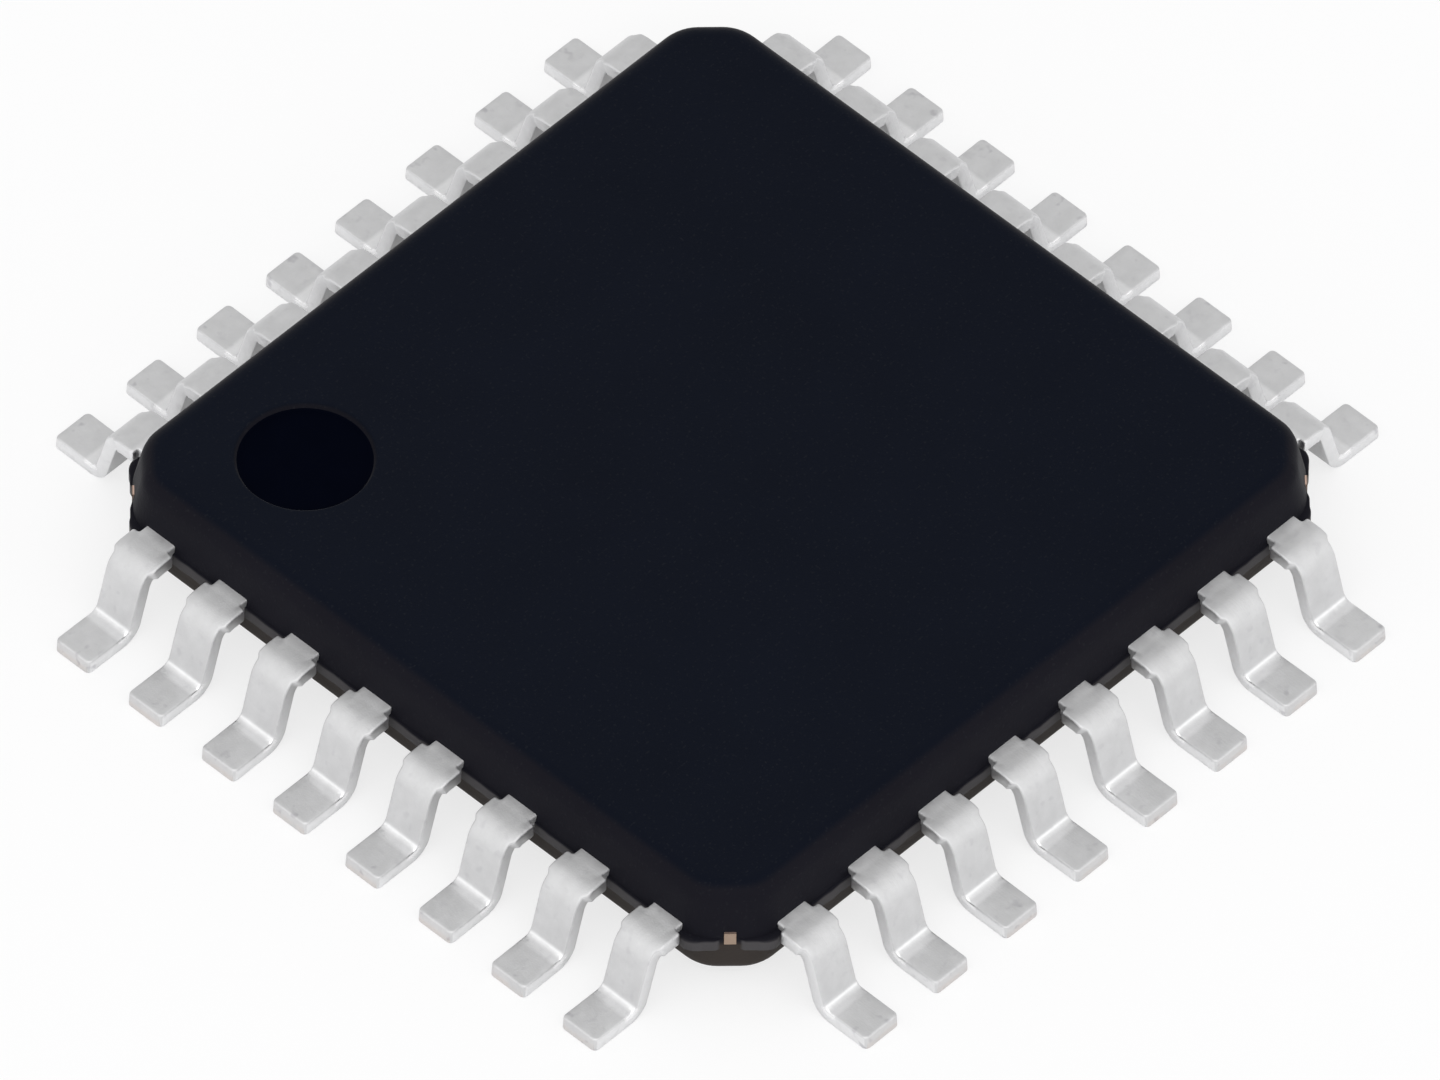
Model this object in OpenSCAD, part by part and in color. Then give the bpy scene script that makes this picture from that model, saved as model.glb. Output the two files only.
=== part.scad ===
// Thin quad flat pack: a moulded square body with eight gull-wing leads on each side.
// Inside are the die pad on its four tie bars, the die on its adhesive and one bond wire per lead.
// Millimetres. Z = 0 is the seating plane under the feet, and the body is centred on the Z axis.
// Pin 1 is by the dimple, and the leads count anticlockwise seen from above.

/* [Body] */
// Width of the body at the parting line, on both sides
body_w = 7.0; // [6.8:0.05:7.2]
// Thickness of the moulded body
body_t = 1.0; // [0.95:0.05:1.05]
// Gap between the seating plane and the body
standoff = 0.10; // [0.05:0.01:0.15]
// Draft of the moulded sides, in degrees
draft = 12; // [8:1:13]
// Leg of the corner chamfers at the parting line
corner_cut = 0.40; // [0.35:0.01:0.45]
// Radius that softens the two upright edges of each chamfer
corner_r = 0.40; // [0.20:0.05:0.50]
// Radius that rounds the top and bottom edges
edge_r = 0.10; // [0.05:0.01:0.12]

/* [Pin one dimple] */
// Diameter of the dimple at the top face
dimple_d = 1.14; // [0.8:0.02:1.2]
// Depth of the dimple
dimple_depth = 0.06; // [0.03:0.01:0.10]
// Distance of the dimple's centre from the body's centre, along X and along Y
dimple_off = 2.33; // [2.2:0.01:2.4]

/* [Leads] */
// Spacing of the leads
pitch = 0.80; // [0.78:0.01:0.80]
// Thickness of the lead frame
frame_t = 0.127; // [0.10:0.001:0.15]
// Width of a lead from the shoulder to the tip
lead_w = 0.38; // [0.32:0.01:0.40]
// Width of a lead where it leaves the body
root_w = 0.32; // [0.30:0.01:0.36]
// Width across the stubs left by the sheared dam bar
stub_w = 0.44; // [0.40:0.01:0.46]
// Distance from tip to tip across the leads
span = 9.0; // [8.8:0.05:9.2]
// Height of the middle of the lead frame above the seating plane
frame_z = 0.64; // [0.60:0.01:0.66]
// Length of lead that leaves the body flat, before the first bend
shoulder_flat = 0.20; // [0.16:0.01:0.24]
// Slope of the riser between the two bends, in degrees
riser_angle = 74; // [68:1:80]
// Radius of the shoulder bend, at the middle of the metal
shoulder_r = 0.17; // [0.14:0.01:0.20]
// Radius of the heel bend, at the middle of the metal
heel_r = 0.11; // [0.10:0.01:0.14]

/* [Inside the body] */
// Distance of the inner lead tips from the body's centre line
inner_tip = 2.55; // [2.45:0.05:2.65]
// Spacing of the inner lead tips
inner_pitch = 0.58; // [0.54:0.01:0.58]
// Width of an inner lead tip
inner_w = 0.28; // [0.24:0.01:0.30]
// Width of the square die pad
pad_w = 4.4; // [4.0:0.1:4.4]
// How far the die pad is pressed below the leads
pad_drop = 0.20; // [0.16:0.01:0.22]
// Width of a tie bar
tie_w = 0.12; // [0.10:0.01:0.20]
// How far a cut tie bar stands out of its corner
tie_stub = 0.05; // [0.03:0.01:0.06]
// Width of the square die
die_w = 2.9; // [2.4:0.1:3.1]
// Thickness of the die
die_t = 0.25; // [0.20:0.01:0.25]
// Thickness of the die attach adhesive
attach_t = 0.025; // [0.020:0.005:0.030]

/* [Bond wires] */
// Diameter of a bond wire
wire_d = 0.030; // [0.025:0.005:0.035]
// Diameter of the ball bonded to the die
ball_d = 0.070; // [0.060:0.005:0.080]
// Height of the loop above the die
loop_h = 0.14; // [0.10:0.01:0.16]
// Spacing of the bonds along the die's edge
bond_pitch = 0.33; // [0.25:0.01:0.33]

/* [Hidden] */
SIDES = ["west", "south", "east", "north"];
per_side = 8;
lead_count = per_side * len(SIDES);
// Node name of lead i, from lead_01 to lead_32
function lead_name(i) = str("lead_", i < 10 ? "0" : "", i);
function wires_name(side) = str("bond_wires_", SIDES[side]);

$fn = 64;
eps = 0.001;

// Body
top_z = standoff + body_t;
half_w = body_w / 2;
cut_half = (body_w - corner_cut) / sqrt(2);  // centre to chamfer, along a diagonal
body_sides = 16;                             // flats, chamfers and a facet on each edge between them
side_turn = 360 / body_sides;
// Centre to the facet that softens the edge between a flat and a chamfer
soft_half = half_w * cos(side_turn) + (half_w - corner_cut) * sin(side_turn)
            - corner_r * (1 / cos(side_turn) - 1);
edge_steps = 2;                              // facets across each rounded edge

// Leads
frame_top = frame_z + frame_t / 2;
frame_bottom = frame_z - frame_t / 2;
root_end = half_w + 0.07;                    // where the dam bar stub begins
stub_bend = 30;                              // degrees of the shoulder that the stub covers
fan_start = half_w - 0.16;                   // where the inner lead turns towards the die
bend_start = half_w + shoulder_flat;
bend_drop = (shoulder_r + heel_r) * (1 - cos(riser_angle));
riser_len = (frame_bottom - bend_drop) / sin(riser_angle);
heel_end = bend_start + (shoulder_r + heel_r) * sin(riser_angle) + riser_len * cos(riser_angle);
foot_len = span / 2 - heel_end;

// Pad, tie bars and die
pad_z = frame_z - pad_drop;                  // middle of the pad's metal
pad_top = pad_z + frame_t / 2;
attach_top = pad_top + attach_t;
die_top = attach_top + die_t;
pad_half = pad_w / 2;
tie_start = pad_half * sqrt(2) - tie_w;      // each tie bar starts a little inside the pad's corner
tie_low = pad_half * sqrt(2) + 0.10;         // and rises to the leads' level between these two
tie_high = tie_low + 0.30;
tie_end = cut_half + tie_stub;

// Wires
wire_sides = 6;
bond_inset = 0.09;                           // centre of a ball bond from the die's edge
stitch_inset = 0.14;                         // centre of a stitch bond from the lead's inner tip

// Turns a lead or wire drawn along +X to its side; side 0 is -X and the sides go anticlockwise
module on_side(side) {
    rotate([0, 0, 180 + 90 * side]) children();
}

// Offset along its side of lead j (0 to 7), for leads spaced by p
function row_pos(j, p) = (j - (per_side - 1) / 2) * p;

// Body ---------------------------------------------------------------------------------------

// Closes a stack of rings, each a list of the same number of points, into a solid. The rings turn
// anticlockwise seen from the last one.
module stacked_rings(rings) {
    n = len(rings[0]);
    last = len(rings) - 1;
    sides = [for (i = [0 : last - 1], k = [0 : n - 1])
        [i * n + k, (i + 1) * n + k, (i + 1) * n + (k + 1) % n, i * n + (k + 1) % n]];
    caps = [[for (k = [0 : n - 1]) k], [for (k = [n - 1 : -1 : 0]) last * n + k]];
    polyhedron([for (ring = rings, p = ring) p], concat(sides, caps));
}

// Centre to side k of the body at the parting line; side 0 faces +X
function side_half(k) = k % 2 == 1 ? soft_half : k % 4 == 0 ? half_w : cut_half;

// Outline of the body at one level, drawn in by inset from the outline at the parting line
function body_ring(inset, z) =
    [for (k = [0 : body_sides - 1])
        let (a = k * side_turn, b = a + side_turn,
             p = side_half(k) - inset, q = side_half(k + 1) - inset)
        [(p * sin(b) - q * sin(a)) / sin(side_turn), (q * cos(a) - p * cos(b)) / sin(side_turn), z]];

// Outline on a rounded edge, where the surface leans by a: draft at the wall, 90 at the flat face.
// The rounding is centred at height z, and up is 1 for the top edge and -1 for the bottom edge.
function edge_ring(z, up, a) =
    body_ring(abs(z - frame_z) * tan(draft) + edge_r * (1 / cos(draft) - cos(a)),
              z + up * edge_r * sin(a));

module body_outline() {
    lean = [for (i = [0 : edge_steps]) draft + (90 - draft) * i / edge_steps];
    stacked_rings(concat(
        [for (i = [edge_steps : -1 : 0]) edge_ring(standoff + edge_r, -1, lean[i])],
        [body_ring(0, frame_z)],
        [for (i = [0 : edge_steps]) edge_ring(top_z - edge_r, 1, lean[i])]));
}

// Shallow dimple with a slightly open wall
module dimple_cut() {
    translate([-dimple_off, dimple_off, top_z - dimple_depth])
        cylinder(d1 = dimple_d - dimple_depth, d2 = dimple_d + eps, h = dimple_depth + eps);
}

// The compound fills every space round the metal, the die and the wires
module moulded_body() {
    color([0.09, 0.10, 0.13]) difference() {
        body_outline();
        dimple_cut();
        for (side = [0 : len(SIDES) - 1], j = [0 : per_side - 1])
            on_side(side) {
                lead_blank(j);
                bond_wire(j);
            }
        pad_and_bars();
        attach_block();
        die_block();
    }
}

// Leads --------------------------------------------------------------------------------------

// Flat part of a lead: inner tip, fan, root and the stubs of the dam bar
module lead_blank(j) {
    outer = row_pos(j, pitch);
    inner = row_pos(j, inner_pitch);
    translate([0, 0, frame_bottom]) linear_extrude(frame_t)
        polygon([[inner_tip, inner - inner_w / 2], [fan_start, outer - root_w / 2],
                 [root_end, outer - root_w / 2], [root_end, outer - stub_w / 2],
                 [bend_start, outer - stub_w / 2], [bend_start, outer + stub_w / 2],
                 [root_end, outer + stub_w / 2], [root_end, outer + root_w / 2],
                 [fan_start, outer + root_w / 2], [inner_tip, inner + inner_w / 2]]);
}

// Bend of the strip, w wide, about an axis along Y; the middle of the metal has radius r.
// It turns from angle a by sweep, in degrees above the outward direction.
module strip_bend(r, w, a, sweep) {
    translate([0, w / 2, 0]) rotate([90, 0, 0])
        rotate_extrude(angle = sweep, start = a)
            translate([r - frame_t / 2, 0]) square([frame_t, w]);
}

// Shoulder, riser, heel and flat foot, drawn along +X on the line y = 0
module gull_wing() {
    translate([bend_start, 0, frame_z - shoulder_r]) {
        strip_bend(shoulder_r, stub_w, 90 - stub_bend, stub_bend);
        strip_bend(shoulder_r, lead_w, 90 - riser_angle, riser_angle - stub_bend);
        rotate([0, riser_angle - 90, 0])
            translate([shoulder_r - frame_t / 2, -lead_w / 2, -riser_len])
                cube([frame_t, lead_w, riser_len]);
    }
    translate([heel_end, 0, heel_r + frame_t / 2])
        strip_bend(heel_r, lead_w, 270 - riser_angle, riser_angle);
    translate([heel_end, -lead_w / 2, 0]) cube([foot_len, lead_w, frame_t]);
}

module lead(i) {
    side = floor((i - 1) / per_side);
    j = (i - 1) % per_side;
    color([0.76, 0.76, 0.75]) on_side(side) {
        lead_blank(j);
        translate([0, row_pos(j, pitch), 0]) gull_wing();
    }
}

// Die pad, adhesive and die ------------------------------------------------------------------

// Side view of a tie bar, from the pad's level up to the leads' level and out through the corner
module tie_bar() {
    translate([0, tie_w / 2, 0]) rotate([90, 0, 0])
        linear_extrude(tie_w)
            polygon([[tie_start, pad_z - frame_t / 2], [tie_low, pad_z - frame_t / 2],
                     [tie_high, frame_bottom], [tie_end, frame_bottom],
                     [tie_end, frame_top], [tie_high - frame_t / 4, frame_top],
                     [tie_low - frame_t / 4, pad_top], [tie_start, pad_top]]);
}

module pad_and_bars() {
    union() {
        translate([-pad_half, -pad_half, pad_z - frame_t / 2]) cube([pad_w, pad_w, frame_t]);
        for (corner = [0 : 3]) rotate([0, 0, 45 + 90 * corner]) tie_bar();
    }
}

module attach_block() {
    translate([-die_w / 2, -die_w / 2, pad_top]) cube([die_w, die_w, attach_t]);
}

module die_block() {
    translate([-die_w / 2, -die_w / 2, attach_top]) cube([die_w, die_w, die_t]);
}

module die_pad() { color([0.80, 0.52, 0.34]) pad_and_bars(); }
module die_attach() { color([0.62, 0.62, 0.60]) attach_block(); }
module die() { color([0.36, 0.38, 0.44]) die_block(); }

// Bond wires ---------------------------------------------------------------------------------

// Direction of a segment of the path, in degrees above the horizontal
function slope(p, q) = atan2(q[1] - p[1], q[0] - p[0]);

// Ring of the wire at a point of its path. The ring lies in the plane that halves the turn from
// slope a to slope b, so every side of the wire stays flat.
function wire_ring(p, r, a, b) =
    let (mid = (a + b) / 2, stretch = 1 / cos((b - a) / 2))
    [for (k = [0 : wire_sides - 1])
        let (t = (k + 0.5) * 360 / wire_sides, n = r * stretch * cos(t))
        [p[0] - n * sin(mid), r * sin(t), p[1] + n * cos(mid)]];

// Wire from the die to lead j. The path is [distance along the wire, height, radius]: a ball,
// a straight neck, a loop and a slope down to the lead, where the wire ends flat on the metal.
module bond_wire(j) {
    start = [die_w / 2 - bond_inset, row_pos(j, bond_pitch)];
    stitch_x = inner_tip + stitch_inset;
    fan = (stitch_x - inner_tip) / (fan_start - inner_tip);
    end = [stitch_x, row_pos(j, inner_pitch) * (1 - fan) + row_pos(j, pitch) * fan];
    reach = norm(end - start);
    r = wire_d / 2;
    path = [[0, die_top, ball_d / 2], [0, die_top + 0.014, ball_d / 2], [0, die_top + 0.024, r],
            [0, die_top + 0.07, r], [0.05, die_top + loop_h, r],
            [0.40 * reach, die_top + loop_h, r], [0.80 * reach, die_top + loop_h / 3, r],
            [reach, frame_top, r]];
    last = len(path) - 1;
    slopes = [for (i = [0 : last - 1]) slope(path[i], path[i + 1])];
    // Both ends are cut level, where the wire meets the die and the lead
    end_slope = -180 - slopes[last - 1];
    rings = [for (i = [0 : last])
        wire_ring(path[i], path[i][2], i == 0 ? 90 : slopes[i - 1], i == last ? end_slope : slopes[i])];
    translate([start[0], start[1], 0])
        rotate([0, 0, atan2(end[1] - start[1], end[0] - start[0])]) stacked_rings(rings);
}

module bond_wires(side) {
    color([0.90, 0.72, 0.30]) on_side(side)
        for (j = [0 : per_side - 1]) bond_wire(j);
}

// Nodes --------------------------------------------------------------------------------------

moulded_body();
die_pad();
die_attach();
die();
for (side = [0 : len(SIDES) - 1])
    bond_wires(side);
for (i = [1 : lead_count])
    lead(i);
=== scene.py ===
"""Dressed model of a thin quad flat pack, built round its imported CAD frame.

All sizes are in metres. Z = 0 is the seating plane and the body is centred on the Z axis.
"""

import math

import bmesh
import bpy
from bpy.props import (
    FloatProperty,
    FloatVectorProperty,
    IntProperty,
    PointerProperty,
)
from mathutils import Matrix, Vector, noise


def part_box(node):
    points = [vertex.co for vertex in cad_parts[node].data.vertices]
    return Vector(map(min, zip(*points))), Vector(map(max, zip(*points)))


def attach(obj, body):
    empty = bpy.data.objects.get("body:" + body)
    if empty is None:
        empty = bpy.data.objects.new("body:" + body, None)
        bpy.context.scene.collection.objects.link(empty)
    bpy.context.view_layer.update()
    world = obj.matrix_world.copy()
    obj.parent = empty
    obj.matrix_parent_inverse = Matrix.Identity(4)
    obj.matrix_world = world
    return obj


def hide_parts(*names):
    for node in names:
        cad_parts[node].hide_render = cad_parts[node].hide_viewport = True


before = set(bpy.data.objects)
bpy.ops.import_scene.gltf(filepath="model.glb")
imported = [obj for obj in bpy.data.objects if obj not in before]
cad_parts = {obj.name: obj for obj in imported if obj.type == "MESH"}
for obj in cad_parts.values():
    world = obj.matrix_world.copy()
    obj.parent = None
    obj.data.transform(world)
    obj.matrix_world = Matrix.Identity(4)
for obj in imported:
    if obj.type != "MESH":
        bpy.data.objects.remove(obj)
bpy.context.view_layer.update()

bl_info = {
    "name": "Thin Quad Flat Pack",
    "version": (1, 0, 0),
    "blender": (4, 5, 0),
    "location": "View3D > Sidebar > Flat Pack",
    "description": "Moulded body, formed leads and inside of a 32-lead flat pack",
    "category": "Add Mesh",
}

MM = 0.001
SOFT_BOX_DISTANCE = 120 * MM
WHITE = (1, 1, 1, 1)

# Each side's turn from +X, in degrees, and the number of its first lead
SIDES = {"west": (180, 1), "south": (270, 9), "east": (0, 17), "north": (90, 25)}
PER_SIDE = 8

BODY_LOW, BODY_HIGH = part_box("moulded_body")
FRAME_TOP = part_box("die_pad")[1].z
EAST_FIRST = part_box("lead_17")
EAST_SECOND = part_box("lead_18")
LEAD_PITCH = EAST_SECOND[0].y - EAST_FIRST[0].y
INNER_TIP = EAST_FIRST[0].x
TOE_TIP = EAST_FIRST[1].x
# The box of a bent lead doesn't show how thick its metal is
STRIP_THICKNESS = 0.127 * MM


def a_length(name, description, default, precision=5):
    """Property that holds a length."""
    return FloatProperty(
        name=name, description=description, unit="LENGTH", precision=precision, default=default)


def an_angle(name, description, degrees):
    """Property that holds an angle."""
    return FloatProperty(
        name=name, description=description, subtype="ANGLE", default=math.radians(degrees))


def a_colour(name, description, default):
    """Property that holds a linear colour."""
    return FloatVectorProperty(
        name=name, description=description, subtype="COLOR", default=default)


def a_share(name, description, default):
    """Property that holds a share from 0 to 1."""
    return FloatProperty(
        name=name, description=description, subtype="FACTOR", min=0, max=1, default=default)


# Node trees ---------------------------------------------------------------------------------


class Value:
    """A socket that can be used in sums; each sum adds the Math node that it needs."""

    def __init__(self, nodes, socket):
        self.nodes, self.socket = nodes, socket

    def calc(self, operation, *others):
        return self.nodes.value("ShaderNodeMath", {"operation": operation}, [self, *others])

    def __add__(self, other):
        return self.calc("ADD", other)

    def __sub__(self, other):
        return self.calc("SUBTRACT", other)

    def __mul__(self, other):
        return self.calc("MULTIPLY", other)

    def __truediv__(self, other):
        return self.calc("DIVIDE", other)

    def __rsub__(self, other):
        return self.nodes.value("ShaderNodeMath", {"operation": "SUBTRACT"}, [other, self])

    def __neg__(self):
        return self * -1.0

    __radd__, __rmul__ = __add__, __mul__

    def sin(self):
        return self.calc("SINE")

    def cos(self):
        return self.calc("COSINE")

    def abs(self):
        return self.calc("ABSOLUTE")

    def min(self, other):
        return self.calc("MINIMUM", other)

    def max(self, other):
        return self.calc("MAXIMUM", other)

    def between(self, low, high):
        return self.max(low).min(high)

    def rise(self, low, high):
        """0 below low and 1 above high, with a smooth step between them."""
        return self.nodes.value(
            "ShaderNodeMapRange",
            {"interpolation_type": "SMOOTHSTEP"},
            {"Value": self, "From Min": low, "From Max": high},
        )


class Nodes:
    """Adds nodes to one tree. The inputs of a node are numbers, colours, sockets or Values."""

    def __init__(self, tree):
        self.tree = tree

    def feed(self, socket, given):
        given = given.socket if isinstance(given, Value) else given
        if isinstance(given, bpy.types.NodeSocket):
            self.tree.links.new(given, socket)
        else:
            socket.default_value = given

    def add(self, kind, settings=None, inputs=()):
        node = self.tree.nodes.new(kind)
        for name, given in (settings or {}).items():
            setattr(node, name, given)
        pairs = inputs.items() if isinstance(inputs, dict) else enumerate(inputs)
        for key, given in pairs:
            self.feed(node.inputs[key], given)
        return node

    def value(self, kind, settings=None, inputs=(), output=0):
        return Value(self, self.add(kind, settings, inputs).outputs[output])

    def split(self, vector):
        node = self.add("ShaderNodeSeparateXYZ", None, [vector])
        return [Value(self, socket) for socket in node.outputs]

    def join(self, x, y, z):
        return self.value("ShaderNodeCombineXYZ", None, [x, y, z])

    def scaled(self, vector, by):
        """The vector with each axis multiplied by its own number."""
        return self.value("ShaderNodeVectorMath", {"operation": "MULTIPLY"}, [vector, by])

    def cloud(self, vector, size, detail=2.0, roughness=0.5):
        """Soft noise from 0 to 1 whose patches are about size metres across."""
        inputs = {"Vector": vector, "Scale": 1 / size, "Detail": detail, "Roughness": roughness}
        return self.value("ShaderNodeTexNoise", None, inputs)

    def blend(self, factor, first, second):
        """Colour between two colours."""
        inputs = {0: factor, 6: first, 7: second}
        return self.value("ShaderNodeMix", {"data_type": "RGBA"}, inputs, output=2)

    def tint(self, colour, by):
        """Colour made darker or lighter by a number that may vary."""
        colour = colour if isinstance(colour, Value) else colour[:3]
        return self.value("ShaderNodeVectorMath", {"operation": "SCALE"}, {0: colour, 3: by})


def rgba(colour):
    """The colour with full opacity, as colour sockets take it."""
    return (*colour, 1.0)


class Finish(Nodes):
    """A material with one Principled shader, and what its patterns are laid out on."""

    def __init__(self, name):
        self.material = bpy.data.materials.new(name)
        self.material.use_nodes = True
        self.material.node_tree.nodes.clear()
        super().__init__(self.material.node_tree)
        self.place = self.value("ShaderNodeTexCoord", output="Object")

    def attribute(self, name, output):
        return self.value("ShaderNodeAttribute", {"attribute_name": name}, output=output)

    def bump(self, height, depth):
        """Normal of a surface whose height goes from 0 to depth metres."""
        return self.value("ShaderNodeBump", None, {"Height": height, "Distance": depth})

    def shade(self, **sockets):
        """Sets the Principled shader's sockets, named with _ for each space, and ends the tree."""
        inputs = {name.replace("_", " "): given for name, given in sockets.items()}
        shader = self.add("ShaderNodeBsdfPrincipled", None, inputs)
        self.end(shader.outputs[0])
        return self.material

    def end(self, shader):
        self.add("ShaderNodeOutputMaterial", None, {"Surface": shader})


# Meshes -------------------------------------------------------------------------------------


def put_in_scene(name, data):
    """New object for a mesh, a light or a camera."""
    thing = bpy.data.objects.new(name, data)
    bpy.context.scene.collection.objects.link(thing)
    return thing


def mesh_from(bm, name, sharp_angle):
    """The shape, drawn in millimetres, as a mesh in metres with outward normals and smooth faces."""
    bmesh.ops.recalc_face_normals(bm, faces=bm.faces)
    bmesh.ops.scale(bm, vec=(MM, MM, MM), verts=bm.verts)
    for face in bm.faces:
        face.smooth = True
    mesh = bpy.data.meshes.new(name)
    bm.to_mesh(mesh)
    bm.free()
    mesh.set_sharp_from_angle(angle=sharp_angle)
    return mesh


def loop_of(bm, points):
    return [bm.verts.new(p) for p in points]


def bridge(bm, first, second, material=0):
    """Quads between two closed loops of the same length."""
    count = len(first)
    for i in range(count):
        k = (i + 1) % count
        face = bm.faces.new((first[i], first[k], second[k], second[i]))
        face.material_index = material


def give_materials(piece, *materials):
    """Sets a piece's materials in the order of its faces' material numbers."""
    slots = piece.data.materials
    for i, material in enumerate(materials):
        if i < len(slots):
            slots[i] = material
        else:
            slots.append(material)


# Body ---------------------------------------------------------------------------------------


class FLATPACK_PG_body(bpy.types.PropertyGroup):
    """Moulded body: its form beyond the frame's box, and its colours"""

    draft: an_angle("Draft", "Slope of the moulded walls", 12)
    parting_height: a_length("Parting Height", "Height of the parting line", 0.64 * MM)
    corner_cut: a_length("Corner Cut", "Leg of the corner chamfers at the parting line", 0.40 * MM)
    corner_radius: a_length("Corner Radius", "Rounding of the upright corner edges", 0.40 * MM)
    edge_radius: a_length("Edge Radius", "Rounding of the top and bottom edges", 0.17 * MM)
    web_depth: a_length(
        "Web Depth", "How far the trimmed resin web stands out between the leads", 0.022 * MM)
    web_corner_radius: a_length(
        "Web Corner Radius", "Rounding of the web, which fills the corners out", 0.14 * MM)
    web_swell: FloatProperty(
        name="Web Swell", description="How much wider the web is beside the last lead of a row",
        default=1.8)
    tie_notch: a_length("Tie Notch", "Half width of the notch in the web at each tie bar", 0.075 * MM)
    dimple_diameter: a_length("Dimple Diameter", "Width of the pin one dimple", 1.14 * MM)
    dimple_depth: a_length("Dimple Depth", "Depth of the pin one dimple", 0.06 * MM)
    dimple_offset: a_length(
        "Dimple Offset", "Distance of the dimple from the middle, along X and Y", 2.33 * MM)
    top_colour: a_colour("Top Colour", "Moulding compound on the top face", (0.0022, 0.0038, 0.0092))
    wall_colour: a_colour("Wall Colour", "Moulding compound on the walls", (0.0072, 0.0070, 0.0110))
    # Painted light: the compound below the parting line is coloured lighter to stand for light from the
    # floor
    floor_lit_lower_colour: a_colour(
        "Lower Colour", "Greyer compound below the parting line", (0.040, 0.033, 0.029))
    broken_colour: a_colour(
        "Broken Colour", "Compound where the web was broken off", (0.066, 0.063, 0.066))
    # Painted reflection: the dimple's floor is coloured darker to stand for the dark room that its
    # polish mirrors
    dimple_painted_dark_colour: a_colour("Dimple Colour", "Polished floor of the dimple", (0.0008, 0.0014, 0.0046))


def body_levels(body):
    """(height, inset, web share) of each level of the wall, from the bottom up, in millimetres.

    The web share is how much of the resin web stands out of the wall at that level.
    """
    low, high = BODY_LOW.z / MM, BODY_HIGH.z / MM
    parting, radius = body.parting_height / MM, body.edge_radius / MM
    slope = math.tan(body.draft)
    web_low = parting - STRIP_THICKNESS / MM
    arc_steps, flat_end = 5, 0.02
    # Levels this far from a rounding or from the web keep the wall straight between them
    beside, above_web = 0.03, 0.02
    # The web's edges are bevelled: it is mostly out at one depth and fully out at the next
    mostly, fully, mostly_share = 0.004, 0.014, 0.8

    def wall(height):
        return abs(height - parting) * slope

    def rounding(centre, sign):
        inset = wall(centre) + radius / math.cos(body.draft)
        quarter = math.pi / 2 - body.draft
        turns = [body.draft + quarter * i / arc_steps for i in range(arc_steps + 1)]
        arc = [(centre + sign * radius * math.sin(a), inset - radius * math.cos(a), 0) for a in turns]
        return arc + [(arc[-1][0], inset + flat_end, 0)]

    def plain(*heights):
        return [(z, wall(z), 0) for z in heights]

    lower = plain(low + radius + beside, web_low - beside, web_low)
    web = [(web_low + mostly, 0, mostly_share), (web_low + fully, 0, 1),
           (parting - fully, 0, 1), (parting - mostly, 0, mostly_share), (parting, 0, 0)]
    upper = plain(parting + above_web, (high + parting) / 2, high - radius - beside)
    return rounding(low + radius, -1)[::-1] + lower + web + upper + rounding(high - radius, 1)


def body_ring(body, height, inset, share):
    """Points round the body at one level, in millimetres: four sides, four chamfers, round corners."""
    half = (BODY_HIGH.x - BODY_LOW.x) / MM / 2
    diagonal = (2 * half - body.corner_cut / MM) / math.sqrt(2)
    wall_radius = body.corner_radius / MM - 0.5 * inset
    radius = wall_radius + share * (body.web_corner_radius / MM - wall_radius)
    depth = body.web_depth / MM * share
    arc_steps, side_steps, chamfer_steps = 6, 64, 14
    # Lengths over which the web widens beside a row of leads and falls away to a tie bar
    swell_length, notch_slope = 0.3, 0.04
    ragged, patches_per_mm = 0.5, 9
    eighth = math.pi / 4

    def arc(i):
        """(point, way out, web) round one corner; the web widens towards the leads."""
        near, far = (half, diagonal) if i % 2 == 0 else (diagonal, half)
        near, far = near - inset - radius, far - inset - radius
        along = (far - near * math.cos(eighth)) / math.sin(eighth)
        out = Vector((math.cos(i * eighth), math.sin(i * eighth), 0))
        centre = near * out + along * Vector((-out.y, out.x, 0)) + Vector((0, 0, height))
        points = []
        for k in range(arc_steps + 1):
            turn = eighth * (i + k / arc_steps)
            out = Vector((math.cos(turn), math.sin(turn), 0))
            towards_side = 1 - k / arc_steps if i % 2 == 0 else k / arc_steps
            points.append((centre + radius * out, out, 1 + body.web_swell * towards_side))
        return points

    def straight(start, end, steps, web):
        out = (end - start).normalized().cross(Vector((0, 0, 1)))
        places = [start.lerp(end, k / steps) for k in range(1, steps)]
        return [(place, out, web(place, start, end)) for place in places]

    def beside_leads(place, start, end):
        """Unevenly broken between the leads, and wider beside the last of a row."""
        inner = min(1, (place - start).length / swell_length, (place - end).length / swell_length)
        uneven = noise.noise(Vector((place.x * patches_per_mm, place.y * patches_per_mm, 3.1)))
        return 1 + body.web_swell * (1 - inner) + ragged * inner * uneven

    def beside_tie(place, start, end):
        """Broken away down to the wall where the tie bar comes out."""
        beside = (place - (start + end) / 2).length - body.tie_notch / MM
        return min(1, max(0, beside / notch_slope))

    arcs = [arc(i) for i in range(8)]
    points = []
    for i in range(8):
        start, end = arcs[i][-1][0], arcs[(i + 1) % 8][0][0]
        # The straight after an even corner is a chamfer
        steps, web = (chamfer_steps, beside_tie) if i % 2 == 0 else (side_steps, beside_leads)
        points += arcs[i] + straight(start, end, steps, web)
    return [place + out * depth * web for place, out, web in points]


def dimple_profile(body):
    """(radius, depth) from the flat top into the dimple and to its middle, in millimetres."""
    rim, deep = body.dimple_diameter / MM / 2, body.dimple_depth / MM
    return [
        (rim + 0.030, 0), (rim + 0.012, 0), (rim + 0.005, 0.0015), (rim - 0.001, 0.006),
        (rim - 0.024, deep - 0.009), (rim - 0.029, deep - 0.003), (rim - 0.040, deep),
        (rim - 0.060, deep), (rim * 0.6, deep), (rim * 0.25, deep),
    ]


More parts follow.
